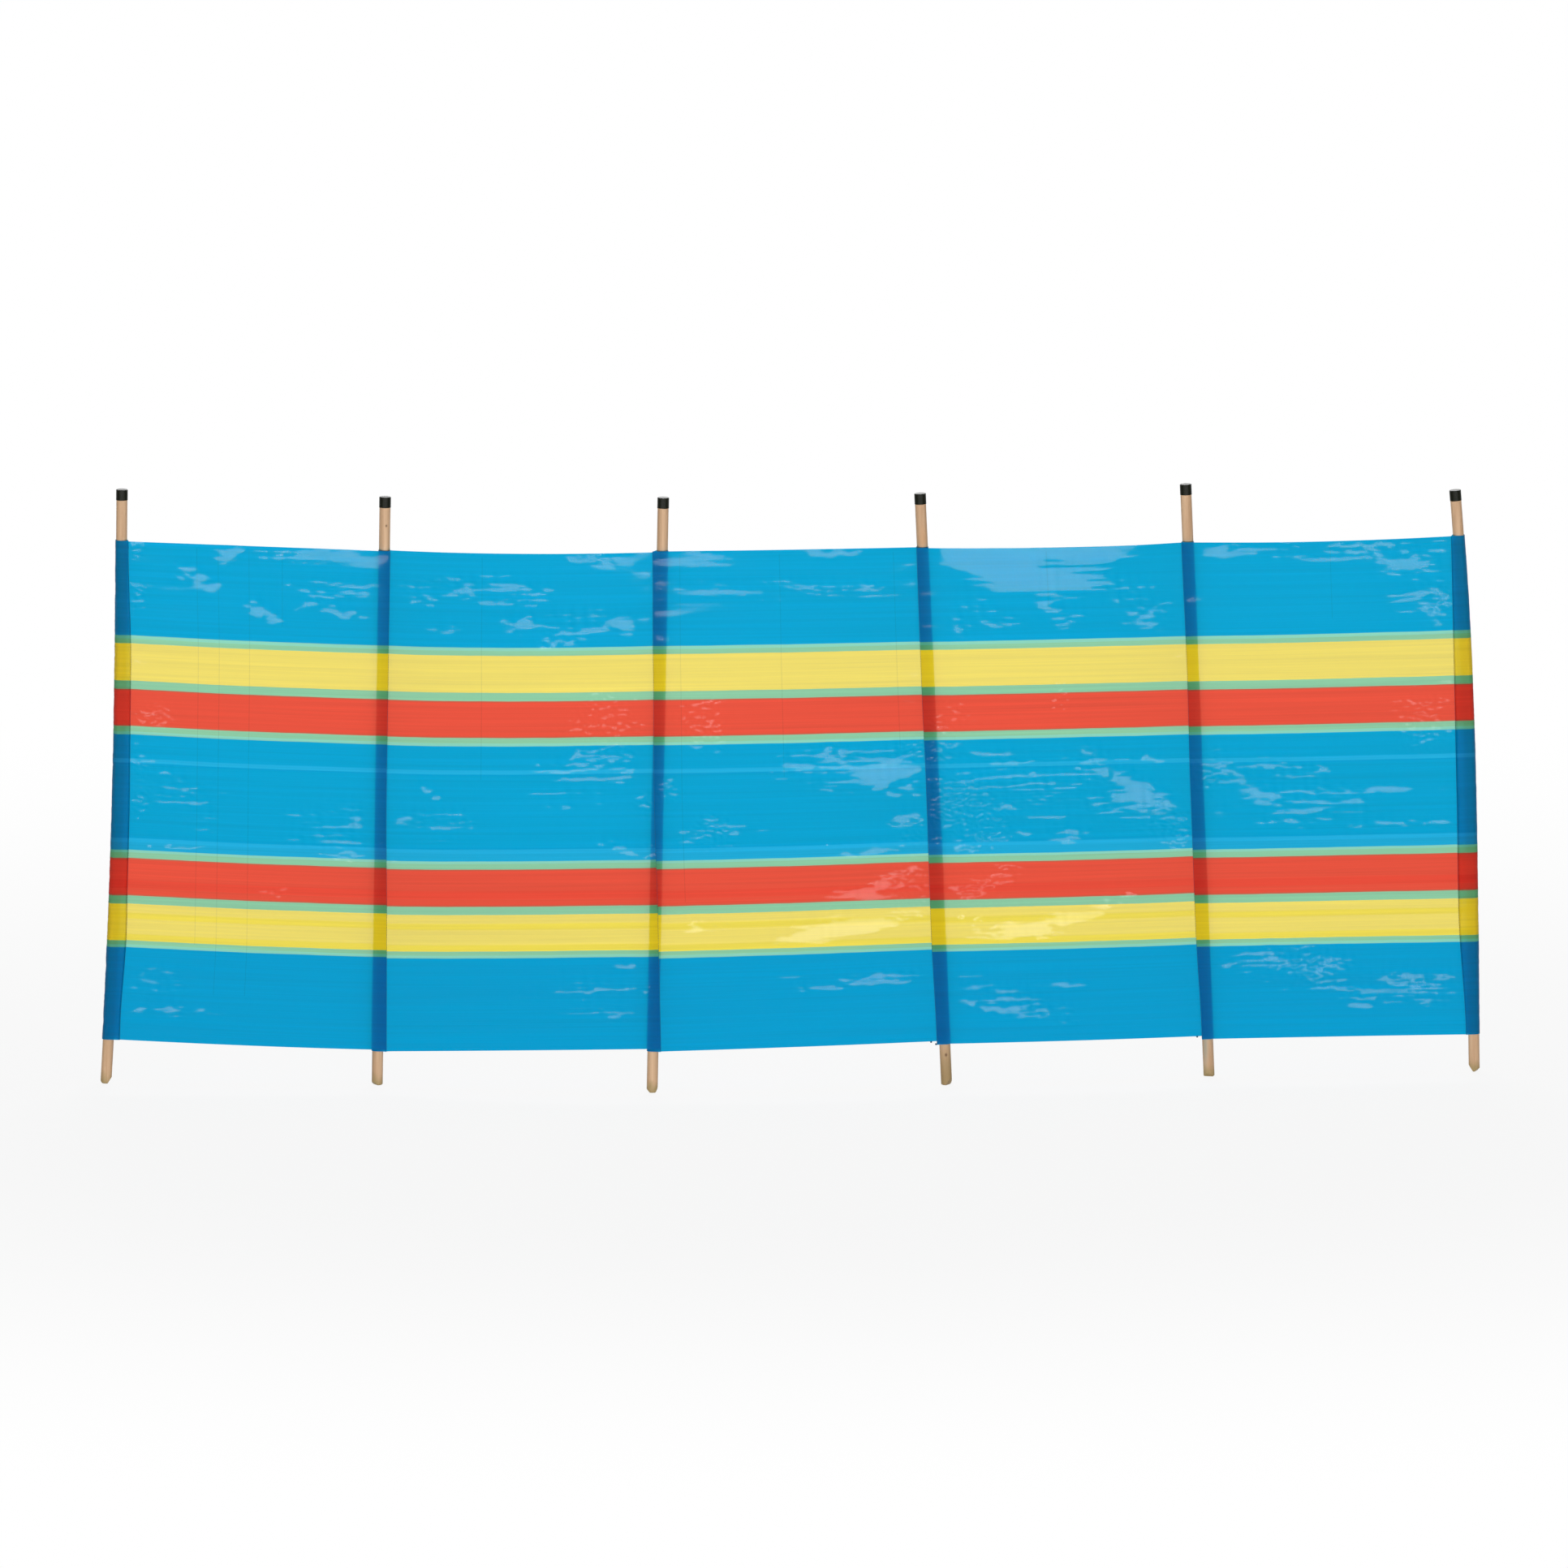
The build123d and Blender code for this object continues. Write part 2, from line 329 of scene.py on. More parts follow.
# How far the film tips back in all these places, in degrees, at its lower edge and at
# its upper edge.
TIPPED = (7.1, 2.6)
# Width beside each bay's left and right seam in which the film lies tight over a pole,
# and the width over which it comes loose.
TIGHT = ((0.000, 0.036), (0.000, 0.030), (0.034, 0.000), (0.034, 0.000), (0.032, 0.000))
LOOSENING = 0.020
# Height in which the film comes forward again above a tipped place.
RECOVERY = 0.035
# How often the tipped places are smoothed across the film.
SMOOTHINGS = 3
# Crumpled places: the bay, the distance from its left seam, the height and the reach.
CRUMPLES = (
    (1, 0.006, 0.560, 0.030),
    (1, 0.008, 0.480, 0.030),
    (1, 0.004, 0.900, 0.025),
    (1, 0.520, 0.420, 0.020),
    (1, 0.525, 0.580, 0.020),
    (1, 0.012, 0.990, 0.012),
    (1, 0.290, 0.305, 0.035),
    (1, 0.050, 0.655, 0.035),
    (2, 0.006, 0.385, 0.015),
    (2, 0.530, 0.500, 0.025),
    (2, 0.540, 0.400, 0.025),
    (2, 0.530, 0.110, 0.035),
    (2, 0.440, 0.655, 0.070),
    (3, 0.020, 0.520, 0.025),
    (3, 0.110, 0.440, 0.035),
    (3, 0.530, 0.600, 0.030),
    (3, 0.530, 0.420, 0.035),
    (3, 0.540, 0.330, 0.025),
    (3, 0.100, 0.660, 0.050),
    (3, 0.500, 0.300, 0.050),
    (4, 0.030, 0.590, 0.030),
    (4, 0.085, 0.470, 0.060),
    (4, 0.050, 0.500, 0.040),
    (4, 0.120, 0.425, 0.045),
    (4, 0.015, 0.585, 0.012),
    (4, 0.014, 0.530, 0.012),
    (4, 0.015, 0.465, 0.014),
    (4, 0.015, 0.415, 0.010),
    (4, 0.500, 0.430, 0.040),
    (4, 0.100, 0.310, 0.060),
    (4, 0.270, 0.690, 0.035),
    (4, 0.060, 0.665, 0.040),
    (5, 0.030, 0.530, 0.040),
    (5, 0.220, 0.150, 0.050),
    (5, 0.520, 0.880, 0.030),
    (5, 0.470, 0.640, 0.050),
)
CRUMPLE_DEPTH = 0.0007
CRUMPLE_RIDGES = (75, 95, 30)
# Where a crumple ends, as the square of the distance over the square of its reach.
CRUMPLE_END = 6

# Storage folds, whose shade is painted into the film's colour as dark lines: the bay, the
# distance from its left seam, and the heights between which the painted shade shows.
PAINTED_FOLD_SHADING = (
    (1, 0.145, 0.20, 1.00),
    (1, 0.190, 0.10, 1.00),
    (1, 0.255, 0.10, 1.00),
    (1, 0.325, 0.85, 1.00),
    (2, 0.200, 0.55, 1.00),
    (3, 0.055, 0.30, 1.00),
    (3, 0.260, 0.55, 1.00),
    (3, 0.500, 0.60, 1.00),
    (4, 0.262, 0.88, 1.00),
    (5, 0.300, 0.85, 1.00),
)
# Width of the painted shade line along each storage fold.
FOLD_SHADING_WIDTH = 0.0018

# ---- thread ------------------------------------------------------------------------
STITCH_PITCH = 0.0050
STITCH_LENGTH = 0.0036
STITCH_RADIUS = 0.00022
# Share of the film's height over which a seam's direction is taken.
SEAM_STEP = 0.01
# Knotted thread ends at the lower edge: the seam, and how far along and above its end.
THREAD_ENDS = ((4, -0.012, 0.004), (4, -0.002, -0.001), (5, -0.010, 0.004))
THREAD_END_RADIUS = 0.0021

# ---- colours, as linear light ------------------------------------------------------
# Each ink's colour, the tint of what is seen straight through it, and the share of the
# other light that it turns back.
INKS = {
    "low blue": ((0.000, 0.238, 0.590), (0.000, 0.900, 0.800), 0.50),
    "blue": ((0.000, 0.262, 0.605), (0.000, 0.900, 0.800), 0.50),
    "dark blue": ((0.000, 0.250, 0.608), (0.000, 0.900, 0.800), 0.50),
    "pale blue": ((0.010, 0.331, 0.693), (0.030, 0.900, 0.800), 0.50),
    "hazy blue": ((0.008, 0.300, 0.633), (0.020, 0.900, 0.800), 0.50),
    "aqua": ((0.150, 0.590, 0.420), (0.850, 0.950, 0.950), 0.50),
    "green": ((0.150, 0.530, 0.260), (0.900, 0.850, 0.950), 0.50),
    "yellow": ((0.885, 0.695, 0.018), (0.820, 0.880, 0.900), 0.69),
    "deep yellow": ((0.885, 0.689, 0.016), (0.820, 0.880, 0.500), 0.69),
    "red": ((0.785, 0.062, 0.034), (0.800, 0.210, 0.120), 0.53),
    "deep red": ((0.790, 0.050, 0.028), (0.800, 0.200, 0.110), 0.53),
    "brown": ((0.560, 0.090, 0.050), (0.600, 0.250, 0.150), 0.53),
}
# Half the width of the soft edge between two inks, how far that edge wavers, the share
# of the ink's lightness that the painted shade of a storage fold leaves, and the share of
# the light that goes straight through.
EDGE_SOFTNESS = 0.0006
WAVER_REACH = 0.0012
PAINTED_FOLD_LIGHTNESS = 0.86
SEEN_THROUGH = 0.15
# Unevenness of the print: its pace along the film and up it, then its detail, its
# roughness and its shift.
PRINT_WAVER = ((7, 0.5, 1),)
PRINT_STREAKS = ((1.1, 130, 1), 4.0, 0.6)
PRINT_THREADS = ((2.2, 420, 1), 2.0, 0.6, (7, 3, 0))
PRINT_BANDS = ((0.5, 14, 1), 2.0)
PRINT_HAIRLINES = ((5, 420, 1), 3.0, 0.6)
# How far streaks, fine threads and broad bands thin or deepen the ink: the least and the
# most of it and, where it isn't all of it, the range of the noise that is used.
STREAK_INK = (0.91, 1.09, 0.25, 0.75)
THREAD_INK = (0.95, 1.05, 0.25, 0.75)
BAND_INK = (0.97, 1.03)
# How much streaks count over hairlines in the relief, and its strength and height.
STREAK_RELIEF = 3.0
FILM_RELIEF = (0.14, 0.0001)

WOOD_LIGHT = (0.715, 0.472, 0.286)
WOOD_DARK = (0.480, 0.280, 0.150)
WOOD_DAMP = (0.330, 0.255, 0.100)
WOOD_KNOT = (0.120, 0.055, 0.022)
WOOD_BROWN = (0.350, 0.235, 0.105)
WOOD_WARM = (0.600, 0.345, 0.175)
WOOD_GREY = (0.430, 0.370, 0.270)
# Unevenness of the wood, the cap and the thread, as for the print.
WOOD_GRAIN = ((90, 90, 3.5), 6.0, 0.6)
WOOD_FIBRES = ((700, 700, 9), 3.0, 0.6)
WOOD_RAGGED = ((60, 60, 30), 3.0)
CAP_GRAIN = ((900, 900, 900), 2.0)
THREAD_TWIST = ((1500, 1500, 4500), 1.0)
# The share of the fibres in the grain, and the range of both over which it darkens.
FIBRE_SHARE = 0.35
GRAIN_RANGE = (0.50, 0.95)
# Strength and height of the relief of the wood and of a cap.
WOOD_RELIEF = (0.3, 0.0004)
CAP_RELIEF = (0.15, 0.0002)
# How high the damp comes up the poles, how ragged its upper edge is, and how strong it is.
DAMP_HEIGHT = 0.030
DAMP_RAGGED = 0.018
DAMP_SHARE = 0.80
# Knots and stains: the middle, the reach along each axis, and the colour.
STAINS = (
    ((0.5626, -0.0300, 1.132), (0.0030, 0.0080, 0.0042), WOOD_KNOT),
    ((1.6775, -0.0260, 0.020), (0.0400, 0.0260, 0.095), WOOD_BROWN),
    ((1.6765, -0.0300, 0.062), (0.0040, 0.0090, 0.006), WOOD_KNOT),
    ((1.6300, -0.0360, 1.105), (0.0120, 0.0140, 0.045), WOOD_WARM),
    ((2.1950, 0.0640, 0.060), (0.0090, 0.0140, 0.060), WOOD_GREY),
)
CAP_BLACK = (0.0035, 0.0045, 0.0012)
CAP_GREY = (0.0063, 0.0081, 0.00216)
THREAD_BLUE = (0.008, 0.060, 0.140)
THREAD_SHADE = (0.0048, 0.036, 0.084)

# ---- studio ------------------------------------------------------------------------
CAMERA_DISTANCE = 60.0
CAMERA_RISE = radians(10.0)
VIEW_WIDTH = 3.124
VIEW_CENTRE = Vector((1.3533, 0.0, 0.6054))
SENSOR = 36.0
ROW_MIDDLE = 1.37
# Each lamp's name, its place, the point that it is aimed at, its size and its power.
LAMPS = (
    ("front_box", (ROW_MIDDLE, -6.0, 0.53), (ROW_MIDDLE, 0.0, 0.53), (15.0, 0.66), 455),
    ("back_box", (1.4, 4.2, 3.0), (ROW_MIDDLE, 0.0, 0.6), (3.2, 1.2), 100),
)
# How strongly the white background lights the row.
WORLD_LIGHT = 0.20
# The floor: half its side, its own grey, its glow near the row, and the distances from
# the row's middle between which the glow grows to white.
FLOOR_SIZE = 60
FLOOR_GREY = 0.86
NEAR_GLOW = 0.90
GLOW_REACH = (1.4, 4.5)


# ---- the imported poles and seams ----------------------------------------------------
def mesh_points(node):
    """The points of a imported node's mesh."""
    return [vertex.co.copy() for vertex in frame["nodes"][node].data.vertices]


def foot_point(number):
    """The middle of a pole's axis at the ground, which is its mount."""
    for mount in frame["record"]["mounts"]:
        if mount["name"] == f"foot_{number}":
            return Vector(mount["pos_m"])
    raise ValueError(f"no mount for foot {number}")


def axis_points(number):
    """Points up the middle of a pole: its foot, then the middle of each ring of its mesh."""
    rings = [[]]
    for point in sorted(mesh_points(f"pole_{number}"), key=lambda point: point.z):
        if rings[-1] and point.z - rings[-1][-1].z > RING_GAP:
            rings.append([])
        rings[-1].append(point)
    points = [foot_point(number)]
    for ring in rings:
        low = Vector([min(spot[axis] for spot in ring) for axis in range(3)])
        high = Vector([max(spot[axis] for spot in ring) for axis in range(3)])
        if high.x - low.x > RING_WIDTH and low.z > RING_START:
            points.append((low + high) / 2)
    return points


def axis_at(number, height):
    """The middle of a pole at a height above the ground."""
    points = AXES[number]
    for low, high in zip(points, points[1:]):
        if height <= high.z or high is points[-1]:
            return low.lerp(high, (height - low.z) / (high.z - low.z))


def seam_end(number, upper):
    """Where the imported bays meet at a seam, at the lower or upper edge of the film."""
    bay, side = (f"bay_{number}", -1) if number < POLES else (f"bay_{number - 1}", 1)
    lift = 1 if upper else -1
    return max(mesh_points(bay), key=lambda point: side * point.x + lift * point.z)


def row_direction(number):
    """Direction of the row at a pole, from the foot before it to the foot after it."""
    before = foot_point(max(number - 1, 1))
    after = foot_point(min(number + 1, POLES))
    return (after - before).normalized()


def wander_at(number, share):
    """How far a seam wanders along the row, smoothly between its five values."""
    values = SEAM_WANDER[number - 1]
    place = share * (len(values) - 1)
    start = min(int(place), len(values) - 2)
    blend = (1 - cos(pi * (place - start))) / 2
    return values[start] * (1 - blend) + values[start + 1] * blend


def seam_at(number, share):
    """A point on a seam, at a share of the film's height."""
    low, high = SEAM_ENDS[number]
    return low.lerp(high, share) + ALONG[number] * wander_at(number, share)


AXES = {number: axis_points(number) for number in POLE_NUMBERS}
SEAM_ENDS = {
    number: (seam_end(number, False), seam_end(number, True)) for number in POLE_NUMBERS
}
ALONG = {number: row_direction(number) for number in POLE_NUMBERS}
BACK = {number: Vector((-ALONG[number].y, ALONG[number].x, 0)) for number in POLE_NUMBERS}


# ---- where the film is uneven ------------------------------------------------------
def by_bay(rows):
    """The rows of a table without their first value, sorted by that value, the bay."""
    return {bay: [row[1:] for row in rows if row[0] == bay] for bay in BAY_NUMBERS}


PANELS_IN, STREAKS_IN, CRUMPLES_IN = by_bay(LEANING), by_bay(STREAKED), by_bay(CRUMPLES)


def waves(kind, place, height, seed):
    """Smooth unevenness of a kind, from about -1 to 1, at a place and a height."""
    along, upward, shift = kind
    return noise.noise(Vector((place * along, height * upward, seed + shift)))


def added_waves(kinds, place, height, seed):
    """The sum of several kinds of unevenness, each with its own depth."""
    return sum(depth * waves(kind, place, height, seed) for depth, kind in kinds)


def ridged(value):
    """Turns a smooth wave into a sharp crease where it passes nought."""
    return 1 - 3 * abs(value)


def flakes(place, height, seed):
    """A value that changes from one small crinkled facet to the next."""
    along, upward = FLAKES
    facet = noise.voronoi(Vector((place * along, height * upward, seed)))[1][0]
    return noise.noise(facet * FLAKE_CONTRAST)


def away_from(shape, place, height):
    """How far outside a slanted oval a place is: 0 at its middle and 1 on its rim."""
    along, level, half_length, half_height, slant = shape
    turn = radians(slant)
    run = ((place - along) * cos(turn) + (height - level) * sin(turn)) / half_length
    climb = ((height - level) * cos(turn) - (place - along) * sin(turn)) / half_height
    return run * run + climb * climb


def is_dented(number, place, height, seed):
    """Whether a place lies in a dent, whose rim is broken up by flakes and streaks."""
    least = min(away_from(dent, place, height) for dent in DENTS[number - 1])
    if least > RIM_END:
        return False
    broken = DENT_FLAKES * flakes(place, height, seed)
    broken += DENT_STREAKS * waves(STREAKS, place, height, seed)
    broken += DENT_GRIT * waves(GRIT, place, height, seed)
    return DENT_FILL[number - 1] - DENT_FADE * least + broken > 0


def is_streaked(number, place, height, seed):
    """Whether a place lies on one of the fine level streaks."""
    least = min(away_from(shape, place, height) for shape in STREAKS_IN[number])
    if least > RIM_END:
        return False
    broken = added_waves(STREAK_BREAKS, place, height, seed)
    return broken > STREAK_LIMIT + STREAK_FADE * least


def inside(corners, place, height):
    """Distance inside a panel whose corners run clockwise, negative outside it."""
    least = 1.0
    for (left, low), (right, high) in zip(corners, corners[1:] + corners[:1]):
        length = hypot(right - left, high - low)
        away = ((right - left) * (low - height) - (left - place) * (high - low)) / length
        least = min(least, away)
    return least


def is_leaning(number, place, height, seed):
    """Whether a place lies in a slack panel, between the dark creases that cross it."""
    panels = PANELS_IN[number]
    if not panels or waves(PANEL_CREASES, place, height, seed) > CREASE_LIMIT:
        return False
    ragged = added_waves(PANEL_RIMS, place, height, seed)
    return any(inside(corners, place + ragged, height) > 0 for corners in panels)


def tipped_column(number, across, width, seed):
    """Depth of the film's tipped places up one column, from the lower edge."""
    place = across * width
    left_tight, right_tight = TIGHT[number - 1]
    edge = min(place - left_tight, width - place - right_tight)
    loose = min(max(edge / LOOSENING, 0.0), 1.0)
    low_belly, high_belly = BELLY[number - 1]
    forward = 4 * across * (1 - across) * (high_belly - low_belly) / FILM_HEIGHT
    step = FILM_HEIGHT / SHEET_ROWS
    low_tilt, high_tilt = TIPPED
    depth, levels = 0.0, [0.0]
    for row in range(SHEET_ROWS):
        height = (row + 0.5) * step
        spot = (number, place, height, seed)
        if is_dented(*spot) or is_leaning(*spot) or is_streaked(*spot):
            tilt = low_tilt + (high_tilt - low_tilt) * height / FILM_HEIGHT
            depth -= loose * (tan(radians(tilt)) + forward) * step
        else:
            depth -= depth * step / RECOVERY
        levels.append(depth)
    return levels


def smoothed(columns):
    """Each column averaged with its neighbours on either side."""
    before = [columns[0]] + columns[:-1]
    after = columns[1:] + [columns[-1]]
    return [
        [(left + 2 * middle + right) / 4 for left, middle, right in zip(*three)]
        for three in zip(before, columns, after)
    ]


def tipped_columns(number, width, seed):
    """Depth of a bay's tipped places, column by column from its left seam."""
    columns = [
        tipped_column(number, column / SHEET_COLUMNS, width, seed)
        for column in range(SHEET_COLUMNS + 1)
    ]
    for _ in range(SMOOTHINGS):
        columns = smoothed(columns)
    return columns


def crumpled(number, place, height, seed):
    """Sharp little creases in the crumpled places."""
    depth = 0.0
    for along, level, reach in CRUMPLES_IN[number]:
        away = ((place - along) ** 2 + (height - level) ** 2) / reach**2
        if away < CRUMPLE_END:
            ridges = ridged(waves(CRUMPLE_RIDGES, place, height, seed))
            depth += CRUMPLE_DEPTH * exp(-away) * ridges
    return depth


# ---- bays --------------------------------------------------------------------------
def middle_curve(values, share):
    """A smooth curve through a value at the left end, the middle and the right end."""
    left, middle, right = values
    return (
        left * (2 * share - 1) * (share - 1)
        + middle * 4 * share * (1 - share)
        + right * share * (2 * share - 1)
    )


def bay_rise(number, across, share):
    """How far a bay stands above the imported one."""
    lower, upper, edge = (middle_curve(values, across) for values in RISE[number - 1])
    near_edge = exp(-(1 - share) * FILM_HEIGHT / EDGE_REACH)
    return lower + (upper - lower) * share + edge * near_edge


def film_grid(columns, rows, width, start):
    """A grid one unit square, with the print's place along the film as its UV map."""
    bm = bmesh.new()
    bmesh.ops.create_grid(bm, x_segments=columns, y_segments=rows, size=0.5)
    uv = bm.loops.layers.uv.new("film")
    for face in bm.faces:
        for loop in face.loops:
            spot = loop.vert.co
            loop[uv].uv = (start + spot.x * width, (spot.y + 0.5) * FILM_HEIGHT)
    return bm


def finished(bm, name):
    """Turns a bmesh into a smooth object of that name."""
    mesh = bpy.data.meshes.new(name)
    for face in bm.faces:
        face.smooth = True
    bm.to_mesh(mesh)
    bm.free()
    piece = bpy.data.objects.new(name, mesh)
    bpy.context.scene.collection.objects.link(piece)
    return piece


def make_bay(number):
    """One bay of the sheet, from its left seam to its right seam."""
    bm = film_grid(SHEET_COLUMNS, SHEET_ROWS, BAY, (number + 0.5) * BAY)
    low_belly, high_belly = BELLY[number - 1]
    chord = seam_at(number + 1, 0.5) - seam_at(number, 0.5)
    forward = Vector((chord.y, -chord.x, 0)).normalized()
    width = chord.length
    seed = number * BAY_SEED
    tipped = tipped_columns(number, width, seed)
    for vertex in bm.verts:
        across, share = vertex.co.x + 0.5, vertex.co.y + 0.5
        place, height = across * width, share * FILM_HEIGHT
        point = seam_at(number, share).lerp(seam_at(number + 1, share), across)
        belly = low_belly + (high_belly - low_belly) * share
        edge = min(place, width - place)
        hold = 1 - exp(-edge / SEAM_HOLD)
        puckers = PUCKER_DEPTH * waves(PUCKERS, place, height, seed)
        relief = added_waves(RIPPLES, place, height, seed)
        relief += puckers * exp(-edge / PUCKER_REACH)
        relief += tipped[round(across * SHEET_COLUMNS)][round(share * SHEET_ROWS)]
        relief += crumpled(number, place, height, seed)
        vertex.co = point + forward * (belly * 4 * across * (1 - across) + hold * relief)
        vertex.co.z += bay_rise(number, across, share)
    return finished(bm, f"film_bay_{number}")


# ---- pockets -----------------------------------------------------------------------
def loop_waves(kind, angle, height, number):
    """Unevenness of a kind in the film round a pole, at an angle and a height."""
    around, upward, seed = kind
    return noise.noise(Vector((angle * around, height * upward, number * seed)))


def loop_reach(number, angle, spread, height):
    """Distance from the pole's middle to the loop, at an angle from the seam."""
    turn = abs(angle)
    if turn < spread:
        return LOOP_RADIUS / cos(spread - turn)
    free = sin((turn - spread) / (pi - spread) * pi / 2)
    slack = LOOP_SLACK_DEPTH * max(loop_waves(LOOP_SLACK, angle, height, number), 0)
    folds = LOOP_FOLD_DEPTH * abs(loop_waves(LOOP_FOLDS, angle, height, number))
    ridges = ridged(loop_waves(LOOP_RIDGES, angle, height, number))
    return LOOP_RADIUS + free * (slack + folds + LOOP_RIDGE_DEPTHS[number - 1] * ridges)


def make_loop(number):
    """The pocket behind the sheet: film round the pole, drawn together at the seam."""
    bm = film_grid(LOOP_COLUMNS, LOOP_ROWS, tau * LOOP_RADIUS, -number)
    low_rise, high_rise = POCKET_RISE[number - 1]
    for vertex in bm.verts:
        share, angle = vertex.co.y + 0.5, vertex.co.x * tau
        apex = seam_at(number, share) + BACK[number] * LOOP_BEHIND
        apex.z += low_rise + (high_rise - low_rise) * share
        middle = axis_at(number, apex.z)
        spread = acos(min(LOOP_RADIUS / (apex - middle).length, 1))
        aim = (apex - middle).normalized()
        side = Vector((-aim.y, aim.x, 0))
        reach = loop_reach(number, angle, spread, share * FILM_HEIGHT)
        vertex.co = middle + (aim * cos(angle) + side * sin(angle)) * reach
    bmesh.ops.remove_doubles(bm, verts=bm.verts, dist=WELD)
    bmesh.ops.recalc_face_normals(bm, faces=bm.faces)
    return finished(bm, f"film_pocket_{number}")


# ---- thread ------------------------------------------------------------------------
def add_stitch(bm, centre, turn):
    """One stitch of thread along a seam."""
    bmesh.ops.create_cone(
        bm,
        cap_ends=True,
        segments=5,
        radius1=STITCH_RADIUS,
        radius2=STITCH_RADIUS,
        depth=STITCH_LENGTH,
        matrix=Matrix.Translation(centre) @ turn,
    )


def make_stitches(number):
    """A row of lock stitches up a seam, seen on both sides, and its knotted ends."""
    bm = bmesh.new()
    count = int(FILM_HEIGHT / STITCH_PITCH)
    back = BACK[number]
    for step in range(count):
        share = (step + 0.5) / count
        ahead, behind = min(share + SEAM_STEP, 1), max(share - SEAM_STEP, 0)
        upward = seam_at(number, ahead) - seam_at(number, behind)
        turn = upward.to_track_quat("Z", "Y").to_matrix().to_4x4()
        for side in (-1, 1):
            proud = back * side * (STITCH_RADIUS + LOOP_BEHIND)
            add_stitch(bm, seam_at(number, share) + proud, turn)
    for seam, along, above in THREAD_ENDS:
        if seam == number:
            centre = seam_at(number, 0) + ALONG[number] * along + Vector((0, 0, above))
            place = Matrix.Translation(centre - back * LOOP_BEHIND)
            bmesh.ops.create_icosphere(
                bm, subdivisions=2, radius=THREAD_END_RADIUS, matrix=place
            )
    return finished(bm, f"stitches_{number}")


# ---- materials ---------------------------------------------------------------------
class Finish:
    """The nodes of a material, or of the studio's world, under construction."""

    def __init__(self, owner):
        owner.use_nodes = True
        self.owner = owner
        self.tree = owner.node_tree
        self.tree.nodes.clear()

    def feed(self, socket, value):
        """Links a socket to another node, or sets it to a number, colour or vector."""
        if isinstance(value, bpy.types.NodeSocket):
            self.tree.links.new(value, socket)
        elif socket.type == "RGBA":
            socket.default_value = (*value, 1)
        else:
            socket.default_value = value

    def node(self, kind, inputs=None, **settings):
        """A node with its settings made and its inputs fed."""
        made = self.tree.nodes.new(kind)
        for name, value in settings.items():
            setattr(made, name, value)
        for name, value in (inputs or {}).items():
            self.feed(made.inputs[name], value)
        return made

    def source(self, output):
        """The piece's own coordinates of a kind: Object or UV."""
        return self.node("ShaderNodeTexCoord").outputs[output]

    def pattern(self, output, scale, detail=3.0, roughness=0.55, shift=(0, 0, 0)):
        """Noise over a piece, at a pace along each of its own coordinates."""
        placed = {"Vector": self.source(output), "Scale": scale, "Location": shift}
        vector = self.node("ShaderNodeMapping", placed).outputs["Vector"]
        grain = {"Vector": vector, "Scale": 1.0, "Detail": detail, "Roughness": roughness}
        return self.node("ShaderNodeTexNoise", grain).outputs["Fac"]

    def spread(self, value, low, high, least=0.0, most=1.0, **settings):
        """Stretches a value between a least and a most one over a range."""
        ends = {"From Min": least, "From Max": most, "To Min": low, "To Max": high}
        made = self.node("ShaderNodeMapRange", {"Value": value, **ends}, **settings)
        return made.outputs["Result"]

    def maths(self, operation, *values):
        """A sum on single values."""
        made = self.node("ShaderNodeMath", dict(enumerate(values)), operation=operation)
        return made.outputs["Value"]

    def vector(self, operation, *values):
        """A sum on vectors."""
        made = self.node("ShaderNodeVectorMath", dict(enumerate(values)), operation=operation)
        return made.outputs["Vector"]

    def length(self, vector):
        """The length of a vector."""
        made = self.node("ShaderNodeVectorMath", {0: vector}, operation="LENGTH")
        return made.outputs["Value"]

    def scaled(self, colour, factor):
        """A colour multiplied by a single value."""
        inputs = {0: colour, "Scale": factor}
        return self.node("ShaderNodeVectorMath", inputs, operation="SCALE").outputs["Vector"]

    def mixed(self, factor, first, second):
        """Two colours, mixed by a factor that is 0 at the first."""
        inputs = {0: factor, 6: first, 7: second}
        return self.node("ShaderNodeMix", inputs, data_type="RGBA").outputs[2]

    def bump(self, height, strength, distance):
        """A normal that follows a fine relief."""
        inputs = {"Height": height, "Strength": strength, "Distance": distance}
        return self.node("ShaderNodeBump", inputs).outputs["Normal"]

    def shader(self, kind, **inputs):
        """A shader; an underscore in an input's name stands for a space."""
        inputs = {name.replace("_", " "): value for name, value in inputs.items()}
        return self.node(kind, inputs).outputs[0]

    def mixed_shaders(self, factor, first, second):
        """Two shaders, mixed by a factor that is 0 at the first."""
        inputs = {0: factor, 1: first, 2: second}
        return self.node("ShaderNodeMixShader", inputs).outputs["Shader"]

    def output(self, shader, kind="ShaderNodeOutputMaterial"):
        """Ends the nodes in a shader and returns what they belong to."""
        self.node(kind, {"Surface": shader})
        return self.owner


def stripe_edges(film, height):
    """For each edge between two stripes, a soft step from 0 below it to 1 above it."""
    steps, level = [], 0.0
    for _, width in STRIPES[:-1]:
        level += width
        least, most = level - EDGE_SOFTNESS, level + EDGE_SOFTNESS
        steps.append(film.spread(height, 0.0, 1.0, least, most))
    return steps


def by_stripe(film, steps, pick):
    """One value of each stripe's ink, changing at the stripes' edges."""
    values = [pick(INKS[ink]) for ink, _ in STRIPES]
    tone = values[0]
    for step, below, above in zip(steps, values, values[1:]):
        if above != below:
            tone = film.mixed(step, tone, above)
    return tone


def fold_shading_mask(film, along, height):
    """1 along each storage fold, where its shade is painted into the film's colour, else 0.
    """
    lines = 0.0
    for bay, place, low, high in PAINTED_FOLD_SHADING:
        across = film.maths("COMPARE", along, bay * BAY + place, FOLD_SHADING_WIDTH / 2)
        upward = film.maths("COMPARE", height, (low + high) / 2, (high - low) / 2)
        lines = film.maths("MAXIMUM", lines, film.maths("MULTIPLY", across, upward))
    return lines


